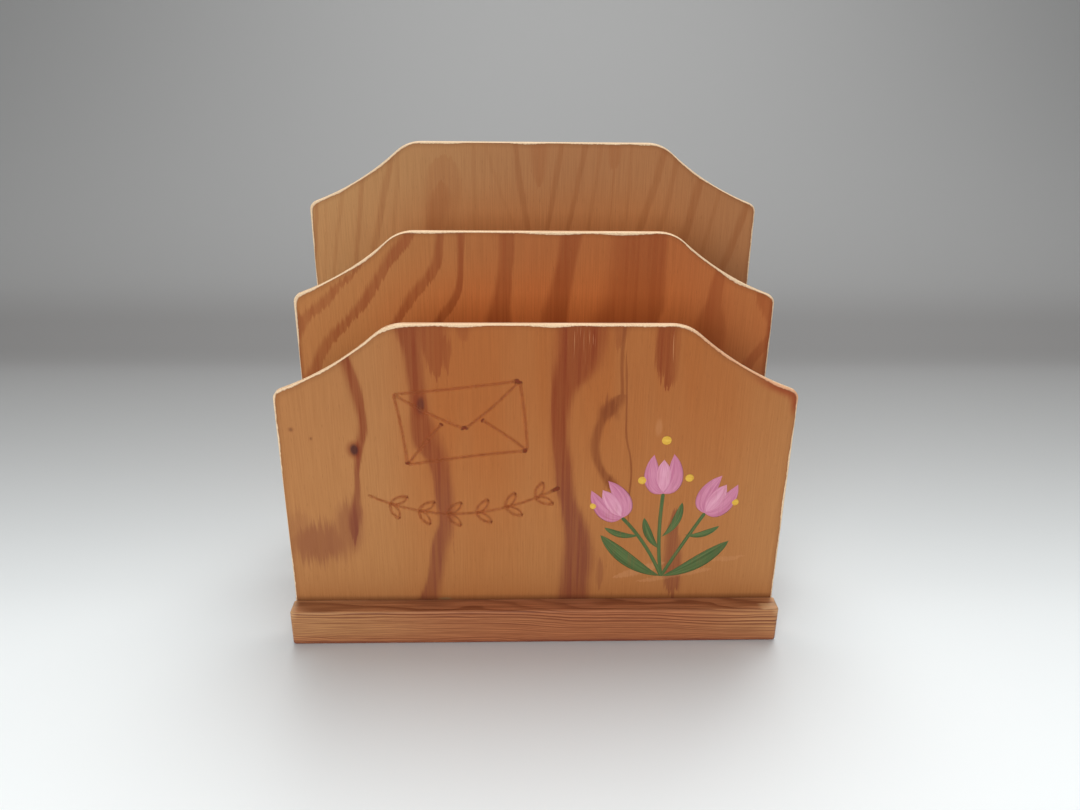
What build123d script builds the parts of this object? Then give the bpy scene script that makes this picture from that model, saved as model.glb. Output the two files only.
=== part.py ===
"""Desk letter rack: three plywood dividers of rising height glued upright into a pine base board.

Millimetres. The origin is at the middle of the base board's underside, +X runs to the right,
-Y to the front and +Z up. Each divider is a three-ply sheet, so it is built as its three veneers,
and all of them share one top outline: a flat crown, a round shoulder on each side and a hollow
sweep down to the side edge. The base board has one glued groove for each divider.
"""
import os
from math import cos, radians, sin

from build123d import *

# Dividers: the width is shared, and each sheet has its own full height, part of it in the groove.
divider_width = 200.0
front_height = 125.0
middle_height = 150.0
rear_height = 180.0

# The veneers of one sheet, front to back, and the sanding round of its two outer arrises.
face_ply = 0.9
core_ply = 1.4
back_ply = 0.9
sanded_round = 0.75

# Top outline, the same on every sheet and the same on both sides.
crown_flat = 99.2        # straight length of the top edge
crown_radius = 16.7      # round stretch at each end of the flat
slope_angle = 41.0       # steepest slope, where the round turns into the hollow sweep
shoulder_drop = 26.8     # from the flat down to the side edge's corner, before it is rounded
corner_radius = 4.0

# Room for letters between the sheets, and the board's ledges round them.
front_slot = 41.1
rear_slot = 41.1
front_ledge = 8.3
rear_ledge = 8.3
side_ledge = 1.0

# Base board, one piece of pine.
base_thickness = 16.0
base_corner_radius = 1.6     # upright corners
base_arris_radius = 1.0      # worn long and short arrises, top and bottom

# Grooves for the sheets, cut along the whole board.
groove_depth = 4.6
glue_gap = 0.1               # on each side of a sheet

sheet_thickness = face_ply + core_ply + back_ply
base_width = divider_width + 2 * side_ledge
base_depth = front_ledge + front_slot + rear_slot + rear_ledge + 3 * sheet_thickness
groove_floor = base_thickness - groove_depth

# Each sheet's front face, counted from the board's front edge backwards.
front_y = -base_depth / 2 + front_ledge
middle_y = front_y + sheet_thickness + front_slot
rear_y = middle_y + sheet_thickness + rear_slot


def base_board():
    """The pine board: rounded corners and arrises, with a through groove for every sheet."""
    board = Box(base_width, base_depth, base_thickness,
                align=(Align.CENTER, Align.CENTER, Align.MIN))
    board = fillet(board.edges().filter_by(Axis.Z), base_corner_radius)
    ends = board.faces().sort_by(Axis.Z)
    board = fillet(ends[0].edges() + ends[-1].edges(), base_arris_radius)
    for sheet_y in (front_y, middle_y, rear_y):
        groove = Box(base_width + 2, sheet_thickness + 2 * glue_gap, groove_depth + 1,
                     align=(Align.CENTER, Align.MIN, Align.MIN))
        board -= Pos(0, sheet_y - glue_gap, groove_floor) * groove
    return board


def sheet_outline(height):
    """A sheet's outline as a face in the XZ plane, its foot on the groove floor."""
    slope = radians(slope_angle)
    top = groove_floor + height
    side = divider_width / 2
    crown_end = (crown_flat / 2, top)
    crown_centre = (crown_flat / 2, top - crown_radius)
    turn = (crown_centre[0] + crown_radius * sin(slope), crown_centre[1] + crown_radius * cos(slope))
    shoulder = (side, top - shoulder_drop)
    with BuildSketch(Plane.XZ) as outline:
        with BuildLine():
            Line((0, top), crown_end)
            RadiusArc(crown_end, turn, crown_radius)
            TangentArc(turn, shoulder, tangent=(cos(slope), -sin(slope)))
            Line(shoulder, (side, groove_floor))
            Line((side, groove_floor), (0, groove_floor))
            mirror(about=Plane.YZ)
        make_face()
        corners = outline.vertices().group_by(Axis.X)
        fillet([end.sort_by(Axis.Y)[-1] for end in (corners[0], corners[-1])], corner_radius)
    return outline.sketch


def veneer(height, sheet_y, offset, thickness, rounded=None):
    """One ply of a sheet, offset behind its front face. rounded is the outer side that is sanded."""
    ply = extrude(sheet_outline(height), amount=-thickness)
    if rounded:
        outer = ply.faces().filter_by(Axis.Y).sort_by(Axis.Y)[0 if rounded == "front" else -1]
        rim = outer.edges().filter_by(lambda edge: edge.center().Z > groove_floor + 1)
        ply = fillet(rim, sanded_round)
    return Pos(0, sheet_y + offset, 0) * ply


def divider(name, height, sheet_y):
    """The three plies of one sheet, keyed by node name."""
    return {
        f"{name}_divider_face_ply": veneer(height, sheet_y, 0, face_ply, "front"),
        f"{name}_divider_core_ply": veneer(height, sheet_y, face_ply, core_ply),
        f"{name}_divider_back_ply": veneer(height, sheet_y, face_ply + core_ply, back_ply, "back"),
    }


pieces = {
    "base_board": base_board(),
    **divider("front", front_height, front_y),
    **divider("middle", middle_height, middle_y),
    **divider("rear", rear_height, rear_y),
}

os.makedirs("parts", exist_ok=True)
for node, piece in pieces.items():
    solid = piece.solids()[0]
    solid.label = node
    export_step(solid, f"parts/{node}.step")
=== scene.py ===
"""Looks of a wooden letter rack: three pine plywood dividers of rising height in a pine base board.

Metres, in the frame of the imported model: +X right, -Y front, +Z up. Patterns are worked out in millimetres.
"""
from math import cos, log, pi, radians, sin, sqrt

import bmesh
import bpy
import numpy as np
from mathutils import Euler, Matrix, Vector


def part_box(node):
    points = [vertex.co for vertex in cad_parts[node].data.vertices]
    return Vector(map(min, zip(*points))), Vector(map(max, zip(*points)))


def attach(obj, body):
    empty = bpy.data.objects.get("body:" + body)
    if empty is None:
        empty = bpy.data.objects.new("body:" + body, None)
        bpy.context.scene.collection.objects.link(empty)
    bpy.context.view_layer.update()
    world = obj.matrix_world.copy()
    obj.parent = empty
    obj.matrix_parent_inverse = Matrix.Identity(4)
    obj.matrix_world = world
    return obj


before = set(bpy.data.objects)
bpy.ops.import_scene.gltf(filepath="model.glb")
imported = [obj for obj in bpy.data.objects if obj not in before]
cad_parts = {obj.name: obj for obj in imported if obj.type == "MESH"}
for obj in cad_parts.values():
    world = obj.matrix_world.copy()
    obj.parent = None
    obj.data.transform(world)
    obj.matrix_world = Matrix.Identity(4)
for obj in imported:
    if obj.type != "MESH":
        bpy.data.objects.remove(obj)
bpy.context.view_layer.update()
scene = bpy.context.scene
scene.view_settings.view_transform = "Standard"
MM = 0.001

# ---------------------------------------------------------------------------------------------
# The camera stands where the photograph was taken: a hand's height above the rack and a little
# to the left of its middle, with the lens of a phone held 35 cm away.
photo_width = 1080
focal_pixels = 870
camera_place = Vector((-8.73, -351.27, 233.38)) * MM
camera_turn, camera_tilt, camera_roll = radians(-1.791), radians(22.867), radians(0.640)

camera = bpy.data.objects.new("camera", bpy.data.cameras.new("camera"))
scene.collection.objects.link(camera)
camera.data.sensor_width = 36
camera.data.lens = focal_pixels / photo_width * camera.data.sensor_width
camera.data.clip_start = 0.01
camera.matrix_world = (Matrix.Translation(camera_place)
                       @ Euler((pi / 2 - camera_tilt, 0, camera_turn)).to_matrix().to_4x4()
                       @ Matrix.Rotation(camera_roll, 4, "Z"))
scene.camera = camera


# ---------------------------------------------------------------------------------------------
# The stage: a pale painted surface that sweeps up into a plain grey backdrop, lit from behind
# and above as by a window, with soft light from the room in front.
class Graph:
    """Writes a node tree: each call adds a node and returns its output. Values are sockets or numbers."""

    def __init__(self, tree):
        self.tree = tree

    def node(self, kind, values=(), **settings):
        node = self.tree.nodes.new(kind)
        for name, value in settings.items():
            setattr(node, name, value)
        for key, value in (values.items() if isinstance(values, dict) else enumerate(values)):
            if isinstance(value, bpy.types.NodeSocket):
                self.tree.links.new(value, node.inputs[key])
            else:
                node.inputs[key].default_value = value
        return node

    def math(self, operation, *values):
        return self.node("ShaderNodeMath", values, operation=operation).outputs[0]

    def smooth(self, value, low, high, at_low=0.0, at_high=1.0):
        """A smooth step from at_low, where value is low, to at_high, where it is high."""
        return self.node("ShaderNodeMapRange", (value, low, high, at_low, at_high),
                         interpolation_type="SMOOTHSTEP").outputs[0]

    def vector(self, x, y, z):
        return self.node("ShaderNodeCombineXYZ", (x, y, z)).outputs[0]

    def parts(self, vector):
        return self.node("ShaderNodeSeparateXYZ", (vector,)).outputs

    def noise(self, vector, scale=1.0, detail=2.0, roughness=0.5):
        values = {"Vector": vector, "Scale": scale, "Detail": detail, "Roughness": roughness}
        return self.node("ShaderNodeTexNoise", values).outputs[0]

    def blend(self, share, first, second):
        """Two colours mixed: the first where share is 0, the second where it is 1."""
        return self.node("ShaderNodeMix", {0: share, 6: first, 7: second}, data_type="RGBA").outputs[2]

    def curve(self, value, points):
        """A smooth curve through points (value, result), all from 0 to 1, level past its ends."""
        node = self.node("ShaderNodeFloatCurve", {1: value})
        node.mapping.extend = "HORIZONTAL"
        line = node.mapping.curves[0]
        for _ in points[2:]:
            line.points.new(0.5, 0.5)
        for point, place in zip(line.points, points):
            point.location = place
        node.mapping.update()
        return node.outputs[0]

    def link(self, value, socket):
        self.tree.links.new(value, socket)


def colour(red, green, blue):
    """A colour as it is seen on a screen, 0 to 255 each, as the linear value that shaders take."""
    seen = np.array([red, green, blue]) / 255
    linear = np.where(seen < 0.04045, seen / 12.92, ((seen + 0.055) / 1.055) ** 2.4)
    return (*linear.tolist(), 1.0)


def material(name):
    """A new material with its Graph and its Principled shader."""
    made = bpy.data.materials.new(name)
    made.use_nodes = True
    return made, Graph(made.node_tree), made.node_tree.nodes["Principled BSDF"]


def surface(name, points, finish, closed_round=False):
    """A mesh over one or more grids of points, (..., rows, columns, 3), with one quad between each
    four neighbours and a finish. closed_round joins the last column of a grid to its first."""
    rows, columns = points.shape[-3:-1]
    index = np.arange(points[..., 0].size).reshape(-1, rows, columns)
    start = index if closed_round else index[:, :, :-1]
    following = np.roll(index, -1, axis=2) if closed_round else index[:, :, 1:]
    quads = np.stack([start[:, :-1], following[:, :-1], following[:, 1:], start[:, 1:]], axis=-1)
    mesh = bpy.data.meshes.new(name)
    mesh.from_pydata(points.reshape(-1, 3).tolist(), [], quads.reshape(-1, 4).tolist())
    mesh.shade_smooth()
    mesh.materials.append(finish)
    made = bpy.data.objects.new(name, mesh)
    scene.collection.objects.link(made)
    return made


stage_half_width = 3.0
stage_front = -2.0
stage_flat_to = 0.45
sweep_radius = 0.8
stage_height = 2.2
stage_dark, stage_white = colour(118, 117, 116), colour(243, 247, 247)
# How white the stage is, from 0 to 1, at a place counted in metres from stage_fade_from backwards.
# Fitted to how the photograph's background darkens, so part of its shading is paint and not light.
stage_fade_from = -0.2
stage_fade = ((0.06, 1.0), (0.14, 0.87), (0.2, 0.66), (0.27, 0.43), (0.35, 0.25), (0.46, 0.09), (0.52, 0.0),
              (0.75, 0.08), (1.0, 0.11))

painted, g, shader = material("painted_stage")
behind = g.parts(g.node("ShaderNodeTexCoord").outputs["Object"])[1]
whiteness = g.curve(g.math("SUBTRACT", behind, stage_fade_from), stage_fade)
g.link(g.blend(whiteness, stage_dark, stage_white), shader.inputs["Base Color"])
shader.inputs["Roughness"].default_value = 0.7

# Profile of the stage: flat, then a quarter circle, then upright. It is carried along X.
turn = np.linspace(0, pi / 2, 25)
profile = np.concatenate([
    [[stage_front, 0]],
    np.stack([stage_flat_to + sweep_radius * np.sin(turn), sweep_radius * (1 - np.cos(turn))], axis=1),
    [[stage_flat_to + sweep_radius, stage_height]],
])
across = np.array([-stage_half_width, stage_half_width])
stage_shape = (len(profile), 2)
stage_points = np.stack([
    np.broadcast_to(across, stage_shape),
    np.broadcast_to(profile[:, :1], stage_shape),
    np.broadcast_to(profile[:, 1:], stage_shape),
], axis=-1)
surface("stage", stage_points, painted)


def area_light(name, place, target, size, power):
    """A square soft light at place, turned to target."""
    lamp = bpy.data.lights.new(name, "AREA")
    lamp.size, lamp.energy = size, power
    made = bpy.data.objects.new(name, lamp)
    made.matrix_world = (Matrix.Translation(place)
                         @ (Vector(target) - Vector(place)).to_track_quat("-Z", "Y").to_matrix().to_4x4())
    scene.collection.objects.link(made)


rack_middle = (0, 0, 0.08)
area_light("window", (0.10, 0.62, 1.25), rack_middle, size=1.2, power=21)
area_light("room", (-0.45, -1.5, 0.55), rack_middle, size=0.9, power=12.5)

world = bpy.data.worlds.new("world")
world.use_nodes = True
background = world.node_tree.nodes["Background"].inputs
background["Color"].default_value = colour(236, 238, 241)
background["Strength"].default_value = 0.29
scene.world = world


# ---------------------------------------------------------------------------------------------
# Wood: the board and the sheets are pine, and share their fibre, their year rings and the ways in
# which marks lie on them.
def position(graph):
    """The place on the object, in millimetres."""
    place = graph.node("ShaderNodeTexCoord").outputs["Object"]
    return graph.node("ShaderNodeVectorMath", (place, (1000, 1000, 1000)), operation="MULTIPLY").outputs[0]


def group(name, inputs, outputs):
    """A shader node group with float or vector sockets, and its Graph. Inputs are (name, default)."""
    tree = bpy.data.node_groups.new(name, "ShaderNodeTree")
    for label, default in inputs:
        kind = "NodeSocketVector" if isinstance(default, tuple) else "NodeSocketFloat"
        tree.interface.new_socket(label, in_out="INPUT", socket_type=kind).default_value = default
    for label in outputs:
        tree.interface.new_socket(label, in_out="OUTPUT", socket_type="NodeSocketFloat")
    graph = Graph(tree)
    return tree, graph, graph.node("NodeGroupInput").outputs, graph.node("NodeGroupOutput").inputs


def use(graph, tree, **values):
    """Puts a node group into a material with its own values and returns its outputs."""
    return graph.node("ShaderNodeGroup", values, node_tree=tree).outputs


def spot(graph, across, along, middle, reach):
    """A round or oval spot: 1 in its middle, falling to 0 at its reach on each axis."""
    u = graph.math("DIVIDE", graph.math("SUBTRACT", across, middle[0]), reach[0])
    v = graph.math("DIVIDE", graph.math("SUBTRACT", along, middle[1]), reach[1])
    away = graph.math("SQRT", graph.math("ADD", graph.math("MULTIPLY", u, u), graph.math("MULTIPLY", v, v)))
    return graph.smooth(away, 0.4, 1.0, 1.0, 0.0)


def torn(graph, grain, value, amount):
    """A height or a place across the grain, moved by up to half of amount from fibre to fibre."""
    return graph.math("MULTIPLY_ADD", graph.math("SUBTRACT", grain["Fray"], 0.5), amount, value)


def dress(node, made):
    """Gives a node of the model its finished material."""
    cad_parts[node].data.materials.clear()
    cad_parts[node].data.materials.append(made)


# Wood fibre. Across, Along and Through are millimetres in the grain's own directions. Fine is the
# fibre, Broad the slow change of tone, Fray the uneven reach of single fibres where two tones
# meet, Uneven how fully the fibres take a dark tone, and Pores are short dark dashes.
fibre, g, given, out = group("wood_fibre", [("Across", 0.0), ("Along", 0.0), ("Through", 0.0)],
                             ["Fine", "Broad", "Fray", "Uneven", "Pores"])


def drawn_out(length):
    """A place whose pattern is drawn out along the grain: length is how many times."""
    return g.vector(given["Across"], g.math("DIVIDE", given["Along"], length), given["Through"])


fine = g.noise(drawn_out(45), 1.9, 4, 0.62)
stripes = g.noise(drawn_out(70), 0.75, 3, 0.6)
g.link(fine, out["Fine"])
g.link(g.noise(drawn_out(7), 0.045, 3), out["Broad"])
g.link(g.noise(drawn_out(22), 1.0, 4, 0.65), out["Fray"])
g.link(g.math("MULTIPLY", g.smooth(stripes, 0.36, 0.6, 1.0, 0.72), g.smooth(fine, 0.35, 0.65, 1.0, 0.8)),
       out["Uneven"])
g.link(g.smooth(g.noise(drawn_out(11), 2.6, 1), 0.66, 0.76), out["Pores"])

# Year rings: pale at first, darker towards the late wood and then pale again at once. Distance is
# counted across the rings, in millimetres, and Spacing is the mean width of one ring.
rings, g, given, out = group("year_rings", [("Distance", 0.0), ("Spacing", 2.0)], ["Late", "Shade"])
counted = g.math("DIVIDE", given["Distance"], given["Spacing"])
uneven = g.noise(g.vector(g.math("MULTIPLY", counted, 0.31), 0.0, 0.0), 1.0, 1)
counted = g.math("MULTIPLY_ADD", uneven, 2.2, counted)
phase = g.math("FRACT", counted)
g.link(g.math("MULTIPLY", g.smooth(phase, 0.3, 0.88), g.smooth(phase, 0.9, 1.0, 1.0, 0.0)), out["Late"])
g.link(g.noise(g.vector(g.math("FLOOR", counted), 3.7, 0.0), 2.3, 0), out["Shade"])


# ---------------------------------------------------------------------------------------------
# Base board: one piece of close-grained pine, varnished and aged, its grain along X. It was sawn
# far from the heart of the tree, so the year rings show as close lines along the front edge and
# the top, and as slanting lines at the two ends.
board_low, board_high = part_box("base_board")
board_front, board_top, board_half_width = board_low.y / MM, board_high.z / MM, board_high.x / MM
ring_dip = 0.028            # the rings dip to the right, in mm for each mm
ring_slant, ring_arch = 0.21, 0.001     # they climb to the front, and level out towards the back
close_below = 10.0          # up to this height, at the front, the rings are close and faint
close_rings, wide_rings = 1.1, 0.7      # rings for each mm
wander_reach, ripple_reach = 7.0, 1.4   # how far a ring strays slowly and closely, in mm
rust_middle = 12.0          # the front is reddest here along x
board_gold = colour(202, 146, 94)
board_rust = colour(184, 109, 68)
board_late = colour(118, 58, 32)
board_foot_dark = colour(112, 50, 38)
board_pale = colour(232, 188, 138)
# Painted light on the top of the board.
board_top_light = colour(232, 160, 118)
highlight_place, highlight_reach, highlight_depth = (96.4, 16.1), (4.6, 0.7), 4.2      # a painted highlight at the right end of the top arris

pine, g, shader = material("varnished_pine_board")
place = position(g)
x, y, z = g.parts(place)

# Height counts the rings: nearly level sheets that dip, climb and stray.
wander = g.noise(g.vector(g.math("MULTIPLY", x, 0.3), g.math("MULTIPLY", y, 0.5), z), 0.05, 1)
ripple = g.noise(g.vector(g.math("MULTIPLY", x, 0.2), y, z), 0.22, 1)
depth = g.math("SUBTRACT", y, board_front)
climb = g.math("MULTIPLY", depth, g.math("MULTIPLY_ADD", depth, -ring_arch, ring_slant))
height = g.math("ADD", g.math("MULTIPLY_ADD", x, ring_dip, z), climb)
height = g.math("MULTIPLY_ADD", g.math("SUBTRACT", wander, 0.5), wander_reach, height)
height = g.math("MULTIPLY_ADD", g.math("SUBTRACT", ripple, 0.5), ripple_reach, height)
close = g.math("MULTIPLY", g.math("MINIMUM", height, close_below), close_rings)
wide = g.math("MULTIPLY", g.math("MAXIMUM", g.math("SUBTRACT", height, close_below), 0.0), wide_rings)
ring = use(g, rings, Distance=g.math("ADD", close, wide), Spacing=1.0)

# Tone: rusty at the middle and the foot, a painted light on the top, then the late wood and the fibre.
grain = use(g, fibre, Across=z, Along=x, Through=y)
late = g.math("MULTIPLY", ring["Late"], g.smooth(ring["Shade"], 0.35, 0.65, 0.65, 1.0))
late = g.math("MULTIPLY", late, g.smooth(height, close_below - 2.5, close_below + 1.0, 0.7, 1.0))
middle = g.smooth(g.math("ABSOLUTE", g.math("SUBTRACT", x, rust_middle)), 30.0, 105.0, 1.0, 0.0)
rusty = g.math("MULTIPLY", middle, g.smooth(grain["Broad"], 0.3, 0.7, 0.7, 1.0))
tone = g.blend(rusty, board_gold, board_rust)
tone = g.blend(g.smooth(z, 0.6, 7.0, 0.6, 0.0), tone, board_rust)
normal = g.parts(g.node("ShaderNodeNewGeometry").outputs["Normal"])
# Painted light on the top: paler, and its rings fainter.
facing_up = g.smooth(normal[2], 0.8, 0.97)
tone = g.blend(g.math("MULTIPLY", facing_up, 0.35), tone, board_top_light)
tone = g.blend(g.math("MULTIPLY", late, g.smooth(facing_up, 0.0, 1.0, 0.95, 0.55)), tone, board_late)
tone = g.blend(g.smooth(grain["Fine"], 0.35, 0.65, 0.0, 0.42), tone, board_late)

# Marks: a darker foot, dark sawn ends, paler upper ends and a painted highlight at the right end.
foot = torn(g, grain, z, 5.0)
tone = g.blend(g.smooth(foot, 0.7, 1.9, 0.65, 0.0), tone, board_foot_dark)
tone = g.blend(g.smooth(g.math("ABSOLUTE", normal[0]), 0.8, 0.97, 0.0, 0.3), tone, board_late)
pale_ends = g.smooth(g.math("ABSOLUTE", x), board_half_width - 3.5, board_half_width - 0.4)
pale_ends = g.math("MULTIPLY", pale_ends, g.smooth(z, board_top - 5.0, board_top))
tone = g.blend(g.math("MULTIPLY", pale_ends, 0.45), tone, board_pale)
# A painted highlight where the top arris ends at the right.
highlight_spot = spot(g, x, torn(g, grain, z, 2.0), highlight_place, highlight_reach)
highlight_spot = g.math("MULTIPLY", highlight_spot, g.math("LESS_THAN", depth, highlight_depth))
tone = g.blend(g.math("MULTIPLY", highlight_spot, 0.6), tone, board_pale)

g.link(tone, shader.inputs["Base Color"])
g.link(g.smooth(late, 0.0, 1.0, 0.5, 0.4), shader.inputs["Roughness"])
shader.inputs["Specular IOR Level"].default_value = 0.3
bump = g.node("ShaderNodeBump", {"Strength": 0.25, "Distance": 0.0002,
                                 "Height": g.math("ADD", late, grain["Fine"])})
g.link(bump.outputs[0], shader.inputs["Normal"])
dress("base_board", pine)


# ---------------------------------------------------------------------------------------------
# Dividers: three sheets of three-ply pine plywood, the outer veneers with upright grain and the
# core with level grain. Their arrises are sanded bare and worn, and show pale all round. The
# lengths of the outline are those of the solids.
sheets = ("front", "middle", "rear")
tops = {sheet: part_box(f"{sheet}_divider_core_ply")[1].z / MM for sheet in sheets}
sheet_half_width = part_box("front_divider_face_ply")[1].x / MM
crown_half = 49.6
crown_radius = 16.7
slope = radians(41.0)
shoulder_drop = 26.8
corner_blend = 4.3      # width over which the two edge distances melt at the rounded corner

# The hollow sweep starts where the crown's round ends and meets the side at the shoulder.
turn_x = crown_half + crown_radius * sin(slope)
turn_drop = crown_radius * (1 - cos(slope))
sweep_run, sweep_fall = sheet_half_width - turn_x, shoulder_drop - turn_drop
sweep_bend = slope - np.arctan2(sweep_fall, sweep_run)
hollow_radius = sqrt(sweep_run ** 2 + sweep_fall ** 2) / (2 * sin(sweep_bend))
hollow_x = turn_x + hollow_radius * sin(slope)
hollow_drop = turn_drop - hollow_radius * cos(slope)

# How far a point of a sheet is from the sheet's edge, in millimetres. Top is the crown's height.
edge_distance, g, given, out = group("distance_to_edge", [("Position", (0.0, 0.0, 0.0)), ("Top", 0.0)],
                                     ["Distance"])
x, _, z = g.parts(given["Position"])
side = g.math("ABSOLUTE", x)
below = g.math("SUBTRACT", given["Top"], z)
run = g.math("MAXIMUM", g.math("SUBTRACT", side, crown_half), 0.0)
round_drop = g.math("SUBTRACT", crown_radius, g.math("SQRT", g.math("MAXIMUM", g.math(
    "SUBTRACT", crown_radius ** 2, g.math("MULTIPLY", run, run)), 0.0)))
reach = g.math("SUBTRACT", side, hollow_x)
hollow = g.math("ADD", hollow_drop, g.math("SQRT", g.math("SUBTRACT", hollow_radius ** 2,
                                                          g.math("MULTIPLY", reach, reach))))
on_hollow = g.math("GREATER_THAN", side, turn_x)
drop = g.math("ADD", g.math("MULTIPLY", on_hollow, hollow),
              g.math("MULTIPLY", g.math("SUBTRACT", 1.0, on_hollow), round_drop))
from_top = g.math("MULTIPLY", g.math("SUBTRACT", below, drop),
                  g.smooth(side, crown_half, turn_x, 1.0, 0.84))
from_side = g.math("SUBTRACT", sheet_half_width, side)
g.link(g.math("SMOOTH_MIN", from_top, from_side, corner_blend), out["Distance"])

# Sanded edge: Bare is 1 where the veneer is rubbed bare at the arris, with a ragged inner line,
# Grime a dark breath along it, and Distance the distance to the edge.
bare_reach = 0.8                        # mean width of the bare rim, in mm
ragged_reach, slow_reach = 0.8, 2.4     # how far its inner line strays closely and slowly, in mm
sanded, g, given, out = group("sanded_edge", [("Position", (0.0, 0.0, 0.0)), ("Top", 0.0)],
                              ["Bare", "Grime", "Distance"])
gap = use(g, edge_distance, Position=given["Position"], Top=given["Top"])["Distance"]
x, y, z = g.parts(given["Position"])
ragged = g.noise(g.vector(x, y, g.math("MULTIPLY", z, 0.5)), 0.9, 4, 0.65)
slow = g.noise(given["Position"], 0.045, 1)
worn = g.math("MULTIPLY_ADD", g.math("SUBTRACT", ragged, 0.5), ragged_reach, gap)
worn = g.math("MULTIPLY_ADD", g.math("SUBTRACT", slow, 0.5), slow_reach, worn)
facing = g.math("ABSOLUTE", g.parts(g.node("ShaderNodeNewGeometry").outputs["Normal"])[1])
bare = g.smooth(worn, 0.35 * bare_reach, bare_reach, 1.0, 0.0)
g.link(g.math("MAXIMUM", bare, g.smooth(facing, 0.72, 0.92, 1.0, 0.0)), out["Bare"])
rim = g.smooth(worn, bare_reach, bare_reach + 0.5, 1.0, 0.0)
g.link(g.math("MAXIMUM", rim, g.smooth(worn, 0.6, 3.0, 0.5, 0.0)), out["Grime"])
g.link(gap, out["Distance"])


band_end = 0.15     # a band that tapers to less than this half width has ended


def offset_from(graph, across, along, course):
    """How far a point lies to the right of a band's middle line, in half widths of the band.
    course is a list of (height, middle, half width) in mm, from the bottom up. Curves run from 0 to
    1, so its places are counted in reach, its half widths in widest."""
    reach, widest = 2 * sheet_half_width, 40.0
    level = graph.math("DIVIDE", along, reach)
    middle = graph.curve(level, [(z / reach, 0.5 + x / reach) for z, x, _ in course])
    half = graph.curve(level, [(z / reach, w / widest) for z, _, w in course])
    middle = graph.math("MULTIPLY", graph.math("SUBTRACT", middle, 0.5), reach)
    half = graph.math("MAXIMUM", graph.math("MULTIPLY_ADD", half, widest, -band_end), 0.001)
    return graph.math("DIVIDE", graph.math("SUBTRACT", across, middle), half)


def between(graph, offset, left=1.0, right=1.0):
    """1 in a band and 0 outside it. left and right are how wide its soft sides are, in half widths."""
    rise = graph.smooth(offset, -1 - left / 2, -1 + left / 2)
    fall = graph.smooth(offset, 1 - right / 2, 1 + right / 2, 1.0, 0.0)
    return graph.math("MULTIPLY", rise, fall)


def shade(graph, tone, dark, mask, amount, grain):
    """Tone darkened where mask is 1, unevenly from fibre to fibre."""
    share = graph.math("MULTIPLY", graph.math("MULTIPLY", mask, grain["Uneven"]), amount)
    return graph.blend(share, tone, dark)


bare_wood = colour(245, 217, 180)
bare_shade = colour(216, 168, 122)
bare_blush = colour(228, 156, 112)
fibre_dark = colour(122, 60, 20)
pore_dark = colour(96, 48, 22)
arris_grime = colour(112, 56, 28)
joint_shadow, joint_reach = colour(88, 44, 26), 3.0     # painted shade and gathered varnish above the base board
waver_reach = 4.0                                       # how far upright grain strays sideways, in mm


def veneer(name, top, figure, seed):
    """An outer veneer's material: aged varnish over upright grain. figure gives the sheet's own
    tone, and how much its bare edge blushes."""
    made, g, shader = material(name)
    place = position(g)
    x, y, z = g.parts(place)
    grain = use(g, fibre, Across=g.math("ADD", x, seed), Along=z, Through=seed)
    waver = g.noise(g.vector(x, g.math("MULTIPLY", z, 0.5), seed), 0.05, 2)
    across = g.math("MULTIPLY_ADD", g.math("SUBTRACT", waver, 0.5), waver_reach, x)
    edge = use(g, sanded, Position=place, Top=top)
    tone, blush = figure(g, across, z, grain, edge["Distance"])
    tone = g.blend(g.smooth(grain["Fine"], 0.3, 0.7, 0.0, 0.18), tone, fibre_dark)
    tone = g.blend(g.math("MULTIPLY", grain["Pores"], 0.2), tone, pore_dark)
    tone = g.blend(g.math("MULTIPLY", edge["Grime"], 0.42), tone, arris_grime)
    # Painted shade and gathered varnish just above the base board.
    tone = g.blend(g.smooth(z, board_top, board_top + joint_reach, 0.6, 0.0), tone, joint_shadow)

    # The bare rim, where the sanding went through the varnish.
    pale = g.blend(g.smooth(g.noise(place, 1.7, 3), 0.4, 0.7, 0.0, 0.4), bare_wood, bare_shade)
    pale = g.blend(blush, pale, bare_blush)
    tone = g.blend(edge["Bare"], tone, pale)

    g.link(tone, shader.inputs["Base Color"])
    g.link(g.smooth(edge["Bare"], 0.0, 1.0, 0.45, 0.75), shader.inputs["Roughness"])
    shader.inputs["Specular IOR Level"].default_value = 0.15
    bump = g.node("ShaderNodeBump", {"Strength": 0.2, "Distance": 0.0002, "Height": grain["Fine"]})
    g.link(bump.outputs[0], shader.inputs["Normal"])
    return made


# The core: pale, with level grain, bare at every edge, with a glue line to each side of it.
core_pale = colour(246, 214, 174)
core_deep = colour(210, 162, 116)
core_end = colour(158, 104, 64)
glue_line = colour(160, 108, 72)
for sheet in sheets:
    core, g, shader = material(f"{sheet}_core_veneer")
    place = position(g)
    x, y, z = g.parts(place)
    grain = use(g, fibre, Across=z, Along=x, Through=y)
    tone = g.blend(g.smooth(grain["Fine"], 0.35, 0.65), core_pale, core_deep)
    normal = g.parts(g.node("ShaderNodeNewGeometry").outputs["Normal"])
    ends = g.smooth(g.math("ABSOLUTE", normal[0]), 0.6, 0.95)
    tone = g.blend(g.math("MULTIPLY", ends, 0.5), tone, core_end)
    low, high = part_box(f"{sheet}_divider_core_ply")
    from_middle = g.math("ABSOLUTE", g.math("SUBTRACT", y, (low.y + high.y) / 2 / MM))
    half_thickness = (high.y - low.y) / 2 / MM
    near_glue = g.smooth(from_middle, half_thickness - 0.22, half_thickness - 0.1, 0.0, 0.7)
    tone = g.blend(near_glue, tone, glue_line)
    g.link(tone, shader.inputs["Base Color"])
    shader.inputs["Roughness"].default_value = 0.7
    shader.inputs["Specular IOR Level"].default_value = 0.3
    dress(f"{sheet}_divider_core_ply", core)


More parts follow.
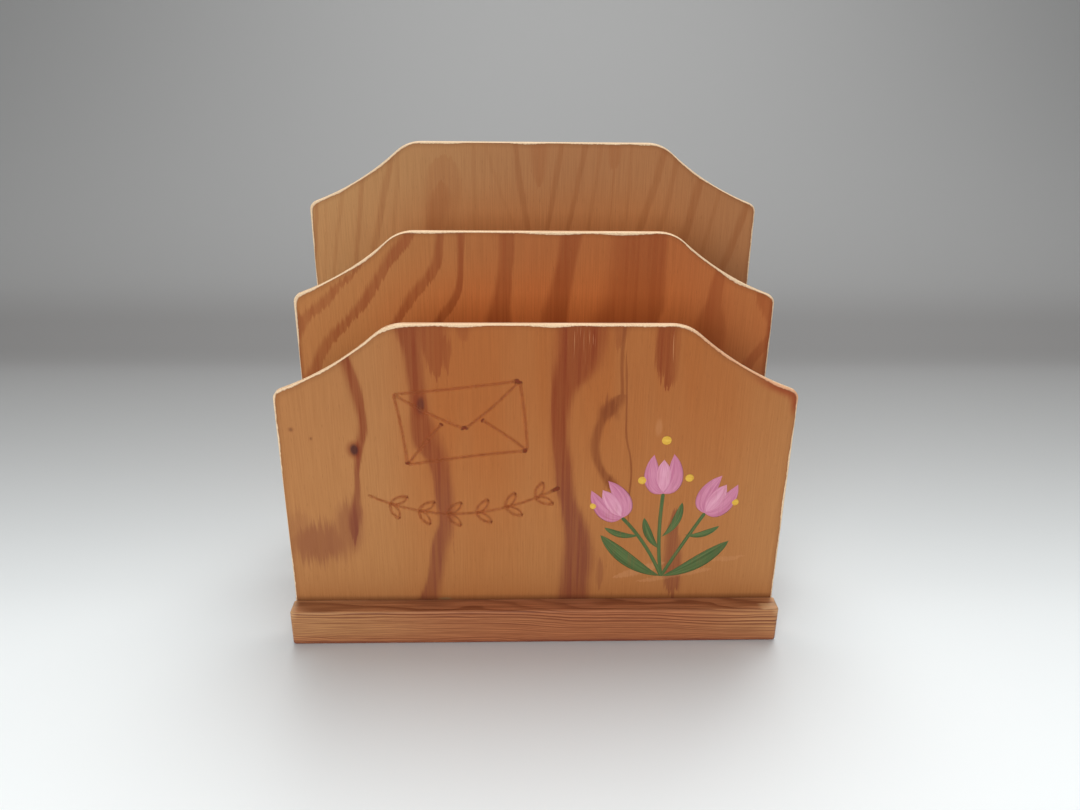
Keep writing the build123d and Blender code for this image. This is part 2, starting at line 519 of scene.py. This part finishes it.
# ---------------------------------------------------------------------------------------------
# Front divider: ochre veneer, more orange towards the middle, with red heartwood streaks, an
# eye-shaped figure at the right, small knots, an old stain at the lower left, short scratches
# under the top edge and pale rubbed marks at the lower right.
front_pale = colour(187, 129, 77)
front_warm = colour(180, 107, 53)
heart_halo = colour(158, 88, 46)
heart_red = colour(122, 33, 10)
line_brown = colour(124, 60, 28)
stain_purple = colour(122, 55, 44)
knot_dark = colour(60, 30, 32)
scratch_pale = colour(218, 158, 110)
joint_glue = colour(164, 136, 92)
# Painted shade: darker towards the tops of the sheets, and at the right of the rear sheet.
painted_shade_glaze = colour(128, 58, 18)
shoulder_red = colour(156, 66, 34)

heart_streaks = (
    # course, softness of the left and the right side, strength
    (((36, -73.5, 0), (44, -73.6, 0.6), (52, -73.2, 2.2), (58, -72.4, 2.4), (64, -71.7, 1.6),
      (70, -71.2, 1.2), (78, -70.5, 1.3), (86, -69.2, 1.7), (94, -67.4, 1.9), (102, -67.3, 1.9),
      (110, -68.7, 2.3), (118, -70.6, 2.3), (126, -72.4, 1.8)), 1.4, 0.7, 0.8),
    (((12, -46.0, 4.4), (20, -43.6, 3.5), (28, -42.0, 2.9), (38, -40.4, 3.1), (46, -38.4, 3.3),
      (53, -36.7, 2.8), (63, -36.7, 3.3), (73, -37.3, 3.3), (80, -38.8, 3.8), (88, -42.7, 5.0),
      (96, -44.5, 4.4), (104, -45.7, 3.2), (113, -46.2, 3.0), (124, -47.0, 3.4), (131, -48.0, 3.8),
      (138, -49.0, 5.0)), 0.6, 1.3, 0.75),
    (((12, 15.4, 6.8), (24, 16.0, 6.0), (33, 17.2, 6.4), (44, 16.8, 5.2), (54, 14.4, 4.4), (63, 12.0, 3.4),
      (72, 10.2, 3.6), (82, 9.4, 3.6), (92, 8.3, 3.2), (103, 8.6, 3.7), (110, 9.8, 4.4), (116, 12.6, 6.6),
      (122, 14.8, 8.2), (138, 16.2, 9.2)), 0.6, 1.0, 0.82),
)
heart_patches = (
    (((111, 49.0, 0), (115, 49.0, 2.6), (121, 47.8, 3.8), (138, 47.2, 3.8)), 0.6, 1.4, 0.75),
    (((19, 57.5, 0), (22, 57.2, 3.3), (30, 56.6, 3.8), (40, 56.0, 3.4), (50, 55.4, 2.5), (60, 55.0, 0)),
     0.7, 0.7, 0.7),
    (((114, -38.0, 0), (119, -38.0, 2.4), (126, -39.0, 4.8), (138, -39.5, 6.0)), 0.8, 1.0, 0.6),
    (((119, -33.7, 0), (123, -33.7, 1.6), (129, -33.8, 1.5), (133, -34.0, 0)), 1.2, 1.2, 0.5),
    (((129, -27.5, 0), (133, -27.5, 2.2), (138, -27.5, 3.0)), 1.2, 1.2, 0.4),
    (((127, 31.0, 0), (132, 31.0, 2.0), (138, 31.2, 3.0)), 1.2, 1.2, 0.4),
    (((20, 26.6, 0), (25, 26.5, 1.1), (32, 26.3, 1.0), (38, 26.0, 0)), 1.4, 1.4, 0.4),
)
growth_lines = (
    # The left half of the eye, and the thin line that runs through it.
    (((62, 34.0, 0), (67, 31.2, 1.7), (72, 28.2, 2.5), (77, 24.9, 1.7), (84, 22.9, 1.8), (91, 23.3, 1.9),
      (98, 25.2, 2.0), (103, 28.0, 3.4), (106, 30.2, 3.0), (109, 32.2, 0)), 1.3, 1.1, 0.85),
    (((50, 37.0, 0), (56, 37.2, 0.4), (80, 36.9, 0.5), (89, 34.9, 0.5), (100, 34.0, 0.5), (118, 33.8, 0.5),
      (130, 33.5, 0)), 1.0, 1.0, 0.75),
)
stains = (
    # place, reach, strength
    ((-87.5, 44.0), (17.0, 13.0), 0.54),
    ((-75.5, 51.0), (8.0, 16.0), 0.46),
    ((-95.0, 50.0), (7.0, 12.0), 0.26),
)
eye_blots = (((27.8, 102.8), (5.5, 6.5), 0.6), ((29.5, 71.0), (4.0, 4.5), 0.55))
knots = (
    ((-71.3, 85.8), (2.1, 3.2), 0.9), ((-44.7, 104.4), (1.9, 4.4), 0.6),
    ((-94.8, 94.4), (0.9, 1.0), 0.35), ((-86.9, 90.6), (0.6, 0.7), 0.35),
)
smears = (
    # Pale rubbed marks that rise to the right: course along x, strength.
    (((31, 26.0, 0), (37, 28.2, 1.7), (44, 30.5, 2.2), (50, 32.5, 1.5), (54, 33.8, 0)), 0.3),
    (((40, 24.5, 0), (48, 25.5, 1.2), (58, 28.0, 1.6), (68, 29.5, 1.3), (74, 30.5, 0)), 0.24),
    (((68, 33.5, 0), (74, 35.0, 1.0), (81, 35.5, 1.2), (87, 37.0, 0)), 0.2),
)
oil_place, oil_reach = (46.5, 95.0), (1.8, 5.0)                     # a faint pale run above the flowers
hair_course = ((119, 50.2, 0), (122, 50.0, 0.16), (134, 49.4, 0.16), (137, 49.3, 0))    # one long scratch
scratched_place, scratched_reach = (17.0, 129.0), (8.0, 14.0)       # a patch of short scratches
glue_place, glue_reach = (-37.5, 16.6), (3.6, 0.8)                  # glue squeezed out of the joint


def front_figure(g, x, z, grain, edge):
    """Tone of the front sheet, and the blush of its right shoulder."""
    frayed = torn(g, grain, x, 3.0)
    brushed = torn(g, grain, z, 20.0)
    warm = g.math("MULTIPLY", g.smooth(x, -66.0, -36.0), g.smooth(x, 50.0, 115.0, 1.0, 0.0))
    warm = g.math("MULTIPLY", warm, g.smooth(z, 20.0, 115.0, 0.4, 1.0))
    warm = g.math("MULTIPLY", warm, g.smooth(grain["Broad"], 0.3, 0.7, 0.7, 1.1))
    tone = g.blend(warm, front_pale, front_warm)
    tone = g.blend(g.smooth(z, 14.0, 36.0, 0.2, 0.0), tone, heart_halo)

    # The streaks are purple-brown low down and redder towards the top.
    dark = g.blend(g.smooth(z, 50.0, 100.0), stain_purple, heart_red)
    for course, left, right, amount in heart_streaks:
        offset = offset_from(g, frayed, z, course)
        tone = shade(g, tone, heart_halo, between(g, offset, left + 1.2, right + 1.2), 0.5, grain)
        tone = shade(g, tone, dark, between(g, offset, left, right), amount, grain)
    for course, left, right, amount in heart_patches:
        mask = between(g, offset_from(g, frayed, brushed, course), left, right)
        tone = shade(g, tone, dark, mask, amount, grain)
    for course, left, right, amount in growth_lines:
        mask = between(g, offset_from(g, x, z, course), left, right)
        tone = shade(g, tone, line_brown, mask, amount, grain)

    # Stains and knots, and blots where the eye begins and ends.
    stained = 0.0
    for place, reach, amount in stains:
        one_stain = g.math("MULTIPLY", spot(g, frayed, brushed, place, reach), amount)
        stained = g.math("MAXIMUM", stained, one_stain)
    stained = g.math("MULTIPLY", stained, g.smooth(grain["Uneven"], 0.4, 0.9, 0.8, 1.0))
    tone = g.blend(stained, tone, stain_purple)
    for place, reach, amount in eye_blots:
        tone = shade(g, tone, line_brown, spot(g, frayed, brushed, place, reach), amount, grain)
    for place, reach, amount in knots:
        around = (1.9 * reach[0], 1.6 * reach[1])
        tone = g.blend(g.math("MULTIPLY", spot(g, x, z, place, around), 0.6 * amount), tone, heart_red)
        tone = g.blend(g.math("MULTIPLY", spot(g, x, z, place, reach), amount), tone, knot_dark)

    # A painted shade high up, set to bring the tone to the photograph's. Then the wear: short
    # scratches, rubbed marks and a speck of glue.
    tone = g.blend(g.smooth(z, 55.0, 135.0, 0.0, 0.17), tone, painted_shade_glaze)
    hairs = g.smooth(g.noise(g.vector(x, g.math("MULTIPLY", z, 0.02), 9.0), 3.2, 1), 0.62, 0.72)
    hairs = g.math("MULTIPLY", hairs, spot(g, x, brushed, scratched_place, scratched_reach))
    tone = g.blend(g.math("MULTIPLY", hairs, 0.7), tone, scratch_pale)
    for course, amount in smears:
        mask = between(g, offset_from(g, torn(g, grain, z, 2.5), x, course), 0.7, 0.7)
        tone = g.blend(g.math("MULTIPLY", mask, amount), tone, scratch_pale)
    oil = g.math("MULTIPLY", spot(g, x, z, oil_place, oil_reach), 0.22)
    tone = g.blend(oil, tone, scratch_pale)
    hair = between(g, offset_from(g, x, z, hair_course))
    tone = g.blend(g.math("MULTIPLY", hair, 0.6), tone, scratch_pale)
    tone = g.blend(g.math("MULTIPLY", spot(g, x, z, glue_place, glue_reach), 0.7), tone, joint_glue)

    shoulder = g.math("MULTIPLY", g.smooth(edge, 1.0, 4.0, 1.0, 0.0), g.smooth(x, 76.0, 94.0))
    shoulder = g.math("MULTIPLY", shoulder, g.smooth(z, 98.0, 105.0))
    tone = g.blend(g.math("MULTIPLY", shoulder, 0.85), tone, shoulder_red)
    return tone, g.math("MULTIPLY", g.smooth(x, 50.0, 66.0, 0.05, 0.7), g.smooth(z, 100.0, 108.0))


dress("front_divider_face_ply", veneer("front_veneer", tops["front"], front_figure, 0.0))


# ---------------------------------------------------------------------------------------------
# Middle divider: redder veneer, with slanting bands at its left, two broad upright bands at its
# middle, a wide heartwood patch to the right of them and two leaning bands near the right side.
middle_gold = colour(192, 130, 74)
middle_red = colour(190, 111, 60)
# the redder low part: fitted to the photograph, cause unknown
middle_slot_light = colour(222, 124, 62)      # painted light, redder, low in the slot; fitted to the photograph
middle_band = colour(146, 60, 22)
middle_courses = (
    # course, softness of the left and the right side, strength
    (((115, -103.0, 4.0), (124, -97.5, 4.0), (130, -89.4, 3.3), (138, -81.5, 2.3), (145, -73.5, 1.4),
      (150, -69.0, 0)), 1.3, 0.6, 0.7),
    (((60, -112.0, 2.6), (110, -90.0, 2.7), (120, -82.2, 2.7), (128, -74.6, 2.7), (136, -68.2, 2.5),
      (145, -62.0, 2.5), (152, -57.4, 3.0), (158, -53.0, 3.0), (168, -46.0, 2.6)), 1.3, 0.4, 0.8),
    (((60, -82.0, 2.0), (110, -66.0, 2.1), (124, -57.8, 2.1), (131, -52.8, 2.3), (137, -49.0, 2.5),
      (143, -44.4, 2.7), (149, -40.7, 2.2), (156, -39.3, 1.7), (168, -38.0, 1.5)), 1.3, 0.4, 0.8),
    (((60, -60.0, 2.0), (110, -48.0, 2.2), (124, -40.5, 2.4), (129, -37.1, 2.3), (135, -33.4, 2.0),
      (141, -31.4, 1.6), (150, -30.4, 1.5), (168, -30.2, 1.4)), 1.2, 0.4, 0.8),
    (((40, -17.0, 6.0), (124, -15.2, 5.4), (131, -14.0, 4.2), (140, -12.8, 3.3), (150, -12.5, 2.8),
      (168, -12.4, 3.2)), 0.9, 0.5, 0.75),
    (((40, 2.0, 6.0), (124, 8.0, 5.4), (134, 9.6, 4.8), (142, 11.0, 4.3), (150, 12.6, 4.1),
      (168, 15.4, 4.8)), 0.8, 0.5, 0.8),
    (((60, 30.0, 16.0), (124, 38.0, 13.4), (130, 40.5, 13.0), (140, 42.0, 11.8), (168, 42.0, 11.0)),
     0.9, 0.2, 0.72),
    (((40, 70.0, 8.0), (112, 73.0, 7.0), (122, 74.0, 6.4), (128, 74.2, 4.4), (134, 75.0, 2.9),
      (143, 76.0, 2.4), (152, 77.8, 1.5), (160, 80.0, 0)), 0.8, 0.6, 0.65),
    (((60, 84.0, 3.0), (104, 91.5, 3.0), (111, 95.8, 2.8), (118, 101.0, 3.0)), 0.8, 0.5, 0.6),
    (((123, 101.0, 3.0), (129, 97.5, 3.3), (134, 95.0, 2.8), (138, 92.5, 0)), 0.7, 0.7, 0.55),
)


def middle_figure(g, x, z, grain, edge):
    """Tone of the middle sheet."""
    redder = g.math("MULTIPLY", g.smooth(x, -75.0, 20.0), g.smooth(grain["Broad"], 0.3, 0.7, 0.75, 1.0))
    tone = g.blend(redder, middle_gold, middle_red)
    # Painted light: lighter and redder low down in the slot behind the front sheet.
    slot_light = g.math("MULTIPLY", g.smooth(z, 118.0, 160.0, 0.9, 0.0), g.smooth(x, -85.0, -20.0, 0.1, 1.0))
    slot_light = g.math("MULTIPLY", slot_light, g.smooth(x, 35.0, 85.0, 1.0, 0.1))
    tone = g.blend(slot_light, tone, middle_slot_light)
    frayed, brushed = torn(g, grain, x, 1.6), torn(g, grain, z, 10.0)
    for course, left, right, amount in middle_courses:
        mask = between(g, offset_from(g, frayed, brushed, course), left, right)
        tone = shade(g, tone, middle_band, mask, 0.85 * amount, grain)
    # Painted shade: darker towards the top.
    return g.blend(g.smooth(z, 138.0, 160.0, 0.0, 0.13), tone, painted_shade_glaze), 0.0


dress("middle_divider_face_ply", veneer("middle_veneer", tops["middle"], middle_figure, 40.0))


# ---------------------------------------------------------------------------------------------
# Rear divider: the palest sheet, with many thin growth bands that lean to the right, upright at
# its middle, and one soft brown arch.
rear_gold = colour(196, 147, 94)
rear_tan = colour(188, 131, 84)
rear_slot_light = colour(214, 138, 80)        # painted light, redder, low in the slot; fitted as on the middle sheet
rear_band = colour(154, 84, 38)
rear_stain = colour(166, 92, 46)
band_top, band_foot = 190.0, 140.0
rear_bands = (
    # middle at band_top, middle at band_foot, half width, strength
    (-92.6, -100.3, 0.8, 0.38), (-89.1, -94.9, 0.64, 0.19), (-81.0, -90.4, 0.8, 0.26),
    (-73.5, -81.0, 1.04, 0.38), (-62.5, -73.4, 1.44, 0.38), (-60.0, -64.0, 0.96, 0.19),
    (-26.5, -27.0, 0.8, 0.19), (-21.6, -3.7, 0.88, 0.11), (-8.2, -0.8, 1.2, 0.41),
    (11.8, 3.5, 1.12, 0.38), (21.9, 12.8, 1.12, 0.38), (28.5, 24.0, 0.88, 0.23),
    (42.3, 40.5, 0.96, 0.19), (57.2, 45.5, 1.68, 0.38), (63.3, 55.8, 1.2, 0.3),
    (78.0, 66.0, 1.92, 0.45), (87.4, 76.4, 0.96, 0.23), (104.0, 88.5, 1.76, 0.45),
)
rear_patches = (
    # The arch and its redder middle, and two short stains under the top edge.
    (((120, -43.5, 7.6), (160, -42.0, 7.4), (170, -40.5, 8.2), (176, -40.0, 7.6), (181, -40.2, 6.4),
      (184, -40.5, 3.6), (186, -40.5, 0)), 0.5, 0.4, 0.28),
    (((120, -46.0, 4.0), (155, -45.0, 3.6), (166, -42.0, 4.5), (172, -41.0, 2.5), (175, -41.0, 0)),
     1.0, 1.0, 0.35),
    (((172, 2.5, 0), (179, 2.5, 2.8), (194, 2.5, 3.6)), 1.0, 1.0, 0.4),
    (((180, 34.5, 0), (184, 34.5, 2.6), (194, 35.0, 3.4)), 1.0, 1.0, 0.35),
)


def rear_figure(g, x, z, grain, edge):
    """Tone of the rear sheet."""
    level = g.math("DIVIDE", g.math("SUBTRACT", z, band_foot), band_top - band_foot)
    frayed, brushed = torn(g, grain, x, 2.0), torn(g, grain, z, 9.0)
    tone = g.blend(g.smooth(x, -90.0, 30.0), rear_gold, rear_tan)
    # Painted light: lighter and redder low down in the slot behind the middle sheet.
    redder = g.math("MULTIPLY", g.smooth(z, 140.0, 186.0, 0.95, 0.0), g.smooth(x, -90.0, -20.0, 0.15, 1.0))
    redder = g.math("MULTIPLY", redder, g.smooth(x, 45.0, 95.0, 1.0, 0.0))
    tone = g.blend(redder, tone, rear_slot_light)
    for high, low, half, amount in rear_bands:
        middle = g.math("MULTIPLY_ADD", level, high - low, low)
        offset = g.math("DIVIDE", g.math("SUBTRACT", frayed, middle), half)
        tone = shade(g, tone, rear_band, between(g, offset, 1.4, 0.8), amount, grain)
    for course, left, right, amount in rear_patches:
        mask = between(g, offset_from(g, frayed, brushed, course), left, right)
        tone = shade(g, tone, rear_stain, mask, amount, grain)
    # Painted shade: darker towards the right and towards the top.
    tone = g.blend(g.smooth(x, 40.0, 95.0, 0.0, 0.14), tone, painted_shade_glaze)
    return g.blend(g.smooth(z, 162.0, 190.0, 0.0, 0.12), tone, painted_shade_glaze), 0.0


dress("rear_divider_face_ply", veneer("rear_veneer", tops["rear"], rear_figure, 80.0))


# ---------------------------------------------------------------------------------------------
# Backs of the three sheets: plainer veneer of the same batch, with wandering upright bands.
back_pale = colour(188, 132, 80)
back_deep = colour(178, 112, 62)
back_band = colour(146, 80, 42)
back_spacing, back_wander = 11.0, 60.0


def back_figure(lean):
    """The figure of a veneer whose growth bands lean by a share of their height and wander."""
    def figure(g, x, z, grain, edge):
        tone = g.blend(g.smooth(grain["Broad"], 0.35, 0.65), back_pale, back_deep)
        drift = g.noise(g.vector(x, g.math("MULTIPLY", z, 0.3), 7.3), 0.03, 2)
        counted = g.math("MULTIPLY_ADD", z, lean, torn(g, grain, x, 4.0))
        counted = g.math("MULTIPLY_ADD", drift, back_wander, counted)
        ring = use(g, rings, Distance=counted, Spacing=back_spacing)
        mask = g.math("MULTIPLY", ring["Late"], g.smooth(ring["Shade"], 0.35, 0.65, 0.3, 1.0))
        return shade(g, tone, back_band, mask, 0.8, grain), 0.0
    return figure


for sheet, seed, lean in (("front", 120.0, 0.05), ("middle", 160.0, -0.08), ("rear", 200.0, 0.12)):
    back = veneer(f"{sheet}_back_veneer", tops[sheet], back_figure(lean), seed)
    dress(f"{sheet}_divider_back_ply", back)


# ---------------------------------------------------------------------------------------------
# Painted tulips: three pink tulips on green stems with lance-shaped leaves and yellow dots, laid
# on the front sheet by hand in craft paint, one brush stroke for each petal, stem and leaf.
face_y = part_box("front_divider_face_ply")[0].y / MM
stroke_rows, stroke_columns = 28, 12
stroke_share = (1 - np.cos(np.linspace(0, pi, stroke_rows))) / 2
stroke_angle = np.linspace(0, 2 * pi, stroke_columns, endpoint=False)
belly_fullness = 0.7        # under 1 makes a stroke with a belly fuller
blob_reach = 1.6            # how far a blob reaches back from the stroke's end, in half widths


def stroke(course, half, belly=None, lift=0.12, blob=0.0):
    """The grid of one brush stroke. Its middle line is the Bezier curve of three points (x, z) in mm.
    At angle a round the line a point lies width times cos a to the side and lift times sin a in front
    of the sheet. The width is half, with round ends, times the sine of a half turn that peaks at
    belly, where one is given, and swells by blob at the stroke's end."""
    t = stroke_share[:, None]
    start, control, end = np.array(course, float)
    line = (1 - t) ** 2 * start + 2 * t * (1 - t) * control + t ** 2 * end
    along = np.gradient(line, axis=0)
    along /= np.linalg.norm(along, axis=1, keepdims=True)
    run = np.concatenate([[0], np.cumsum(np.linalg.norm(np.diff(line, axis=0), axis=1))])
    from_end = np.clip(np.minimum(run, run[-1] - run) / half, 0, 1)
    width = half * np.sqrt(1 - (1 - from_end) ** 2)
    if belly:
        width *= np.sin(pi * stroke_share ** (log(0.5) / log(belly))) ** belly_fullness
    width *= 1 + blob * np.exp(-((run[-1] - run) / (blob_reach * half)) ** 2)
    height = lift * np.sqrt(width / width.max())
    side = width[:, None] * np.cos(stroke_angle)
    front = height[:, None] * np.sin(stroke_angle)
    return np.stack([line[:, :1] - along[:, 1:] * side, face_y - front, line[:, 1:] + along[:, :1] * side],
                    axis=-1)


def strokes(name, grids, finish):
    """One piece made of strokes, closed at their ends, with a UV map: along and across each stroke."""
    points = np.array(grids) * MM
    made = surface(name, points, finish, closed_round=True)
    count = len(grids)
    shape = (count, stroke_rows, stroke_columns)
    along = stroke_share[None, :, None] + 2 * np.arange(count)[:, None, None]
    across = (1 + np.cos(stroke_angle)) / 2
    uv = np.stack([np.broadcast_to(along, shape), np.broadcast_to(across, shape)], axis=-1)
    corners = np.empty(len(made.data.loops), dtype=np.int32)
    made.data.loops.foreach_get("vertex_index", corners)
    made.data.uv_layers.new(name="stroke").data.foreach_set("uv", uv.reshape(-1, 2)[corners].ravel())
    shell = bmesh.new()
    shell.from_mesh(made.data)
    bmesh.ops.remove_doubles(shell, verts=shell.verts, dist=1e-7)
    bmesh.ops.recalc_face_normals(shell, faces=shell.faces)
    shell.to_mesh(made.data)
    shell.free()
    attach(made, "root")
    return made


# Brush marks: Bristle runs along each stroke, and Thin is where the wood shows through the paint.
brush_marks, g, given, out = group(
    "brush_marks", [("Stroke", (0.0, 0.0, 0.0)), ("Position", (0.0, 0.0, 0.0))], ["Bristle", "Thin"])
u, v, _ = g.parts(given["Stroke"])
drawn = g.vector(g.math("MULTIPLY", u, 1.2), g.math("MULTIPLY", v, 7.0), 0.0)
g.link(g.noise(drawn, 1.0, 3, 0.6), out["Bristle"])
x, _, z = g.parts(given["Position"])
g.link(g.noise(g.vector(x, g.math("MULTIPLY", z, 0.05), 0.0), 1.3, 3, 0.6), out["Thin"])


def paint(name, pale, deep):
    """Craft paint brushed thinly on wood, from a pale to a deep tone."""
    made, g, shader = material(name)
    along_stroke = g.node("ShaderNodeUVMap", uv_map="stroke").outputs[0]
    marks = use(g, brush_marks, Stroke=along_stroke, Position=position(g))
    tone = g.blend(g.smooth(marks["Bristle"], 0.3, 0.7), pale, deep)
    tone = g.blend(g.smooth(marks["Thin"], 0.5, 0.75, 0.0, 0.3), tone, heart_halo)
    g.link(tone, shader.inputs["Base Color"])
    g.link(g.smooth(marks["Bristle"], 0.3, 0.7, 0.45, 0.6), shader.inputs["Roughness"])
    shader.inputs["Specular IOR Level"].default_value = 0.3
    bump = g.node("ShaderNodeBump", {"Strength": 0.3, "Distance": 0.0001, "Height": marks["Bristle"]})
    g.link(bump.outputs[0], shader.inputs["Normal"])
    return made


def turned(points, place, lean):
    """Points drawn upright round (0, 0), leant by an angle to the left and moved to a place."""
    turn = np.array([[cos(lean), -sin(lean)], [sin(lean), cos(lean)]])
    return np.array(points, float) @ turn.T + place


spray_foot = (52, 27)
tulips = (
    # where the cup sits, the stem's bend, how far it leans to the left
    ((50.5, 66), (49, 44), radians(2)),
    ((34.5, 55), (45, 44), radians(33)),
    ((68.0, 57), (60, 43), radians(-31)),
)
leaves = (
    # course, half width
    ((spray_foot, (39, 31), (26, 47)), 3.0),
    ((spray_foot, (65, 30), (79, 44)), 3.0),
    (((51, 40), (45, 45), (43.5, 55)), 1.7),
    (((51, 46), (57.5, 51), (58.5, 62)), 1.7),
    (((42.5, 47), (35, 45), (27.5, 50.5)), 1.4),
    (((60.5, 47), (67, 45), (74.5, 51)), 1.4),
)
dots = (
    # x, z, radius
    (41.8, 72.0, 1.7), (60.6, 73.0, 1.7), (50.4, 89.5, 1.9), (22.8, 60.5, 1.5), (79.8, 62.0, 1.5),
)
outer_petal = np.array([(0, 0), (6.4, 5), (3.9, 17.5)])     # on a cup's right side, from its foot up
inner_petal = np.array([(0, 0.6), (0, 7), (0, 15.2)])

stem_strokes = [stroke((spray_foot, bend, cup), 0.75, lift=0.08) for cup, bend, _ in tulips]
leaf_strokes = [stroke(course, half, belly=0.6, lift=0.13) for course, half in leaves]
outer_petals = [
    stroke(turned(outer_petal * (hand, 1), cup, lean), 3.7, belly=0.42, lift=0.16)
    for cup, _, lean in tulips for hand in (-1, 1)
]
inner_petals = [
    stroke(turned(inner_petal, cup, lean), 3.5, belly=0.45, lift=0.24) for cup, _, lean in tulips
]
dot_strokes = [
    stroke(((x - radius, z), (x, z), (x + radius, z)), radius, lift=0.15) for x, z, radius in dots
]

leaf_paint = paint("leaf_green_paint", colour(96, 118, 66), colour(62, 86, 44))
rose_paint = paint("rose_paint", colour(214, 142, 168), colour(194, 112, 144))
pale_rose_paint = paint("pale_rose_paint", colour(228, 166, 188), colour(210, 134, 162))
yellow_paint = paint("yellow_paint", colour(232, 190, 78), colour(218, 166, 52))
strokes("painted_stems", stem_strokes, leaf_paint)
strokes("painted_leaves", leaf_strokes, leaf_paint)
strokes("painted_outer_petals", outer_petals, rose_paint)
strokes("painted_inner_petals", inner_petals, pale_rose_paint)
strokes("painted_dots", dot_strokes, yellow_paint)


# ---------------------------------------------------------------------------------------------
# Burned ornament: an envelope over a leafy twig, drawn on the front sheet with a hot point, which
# leaves thin brown lines with a dark dot where the point rested.
scorch_pale = colour(182, 92, 42)
scorch_dark = colour(128, 54, 26)

scorch, g, shader = material("scorched_line")
u, v, _ = g.parts(g.node("ShaderNodeUVMap", uv_map="stroke").outputs[0])
off = g.math("ABSOLUTE", g.math("MULTIPLY_ADD", v, 2.0, -1.0))
uneven = g.noise(position(g), 0.5, 3)
rest = g.smooth(g.math("FRACT", u), 0.94, 0.975)
deep = g.math("MAXIMUM", rest, g.smooth(uneven, 0.45, 0.75, 0.0, 0.35))
g.link(g.blend(deep, scorch_pale, scorch_dark), shader.inputs["Base Color"])
body = g.math("MULTIPLY", g.smooth(off, 0.2, 1.0, 1.0, 0.0), g.smooth(uneven, 0.35, 0.65, 0.55, 0.28))
dot = g.math("MULTIPLY", rest, g.smooth(off, 0.6, 1.0, 0.8, 0.0))
g.link(g.math("MAXIMUM", body, dot), shader.inputs["Alpha"])
shader.inputs["Roughness"].default_value = 0.6
shader.inputs["Specular IOR Level"].default_value = 0.2

envelope_place, envelope_lean = (-29, 97), radians(7)
top_left, top_right = (-24.0, 15.0), (24.0, 14.6)
bottom_left, bottom_right = (-23.6, -15.0), (23.5, -14.7)
flap_point = (0.6, -2.5)
left_fold, right_fold = (-7.5, 0.8), (7.5, 0.6)     # where the two lower folds end
line_half, line_lift, line_blob = 0.95, 0.03, 0.4


def burned_line(start, end, sag):
    """A line from start to end on the envelope's own axes, which sags to one side by a share."""
    start, end = np.array(start, float), np.array(end, float)
    control = (start + end) / 2 + sag * np.array([start[1] - end[1], end[0] - start[0]])
    course = turned([start, control, end], envelope_place, envelope_lean)
    return stroke(course, line_half, lift=line_lift, blob=line_blob)


envelope_lines = [burned_line(start, end, sag) for start, end, sag in (
    (top_left, bottom_left, 0.03),
    (bottom_left, bottom_right, 0.02),
    (bottom_right, top_right, -0.03),
    (top_left, top_right, -0.015),
    (top_left, flap_point, -0.05),
    (top_right, flap_point, 0.05),
    (bottom_left, left_fold, 0.03),
    (bottom_right, right_fold, -0.03),
)]
strokes("burned_envelope", envelope_lines, scorch)

twig = np.array([(-67, 66), (-31, 47), (9, 69)], float)
leaf_pairs = 6
# Points of a twig leaf counted from its foot: along the twig, and off it to the leaf's own side.
leaf_tip, outer_bend, inner_bend = (5.6, 5.2), (1.0, 4.6), (4.8, 0.6)


def twig_line(t):
    """The place and the direction of the twig at share t of its Bezier curve."""
    place = (1 - t) ** 2 * twig[0] + 2 * t * (1 - t) * twig[1] + t ** 2 * twig[2]
    way = (1 - t) * (twig[1] - twig[0]) + t * (twig[2] - twig[1])
    return place, way / np.linalg.norm(way)


twig_lines = [stroke(twig, line_half, lift=line_lift, blob=line_blob)]
for t in np.linspace(0.12, 0.88, leaf_pairs):
    foot, way = twig_line(t)
    for hand in (-1, 1):
        axes = np.array([way, (-hand * way[1], hand * way[0])])
        tip, outer, inner = foot + np.array([leaf_tip, outer_bend, inner_bend]) @ axes
        twig_lines.append(stroke((foot, outer, tip), line_half, lift=line_lift, blob=line_blob))
        twig_lines.append(stroke((foot, inner, tip), 0.8 * line_half, lift=line_lift))
strokes("burned_twig", twig_lines, scorch)
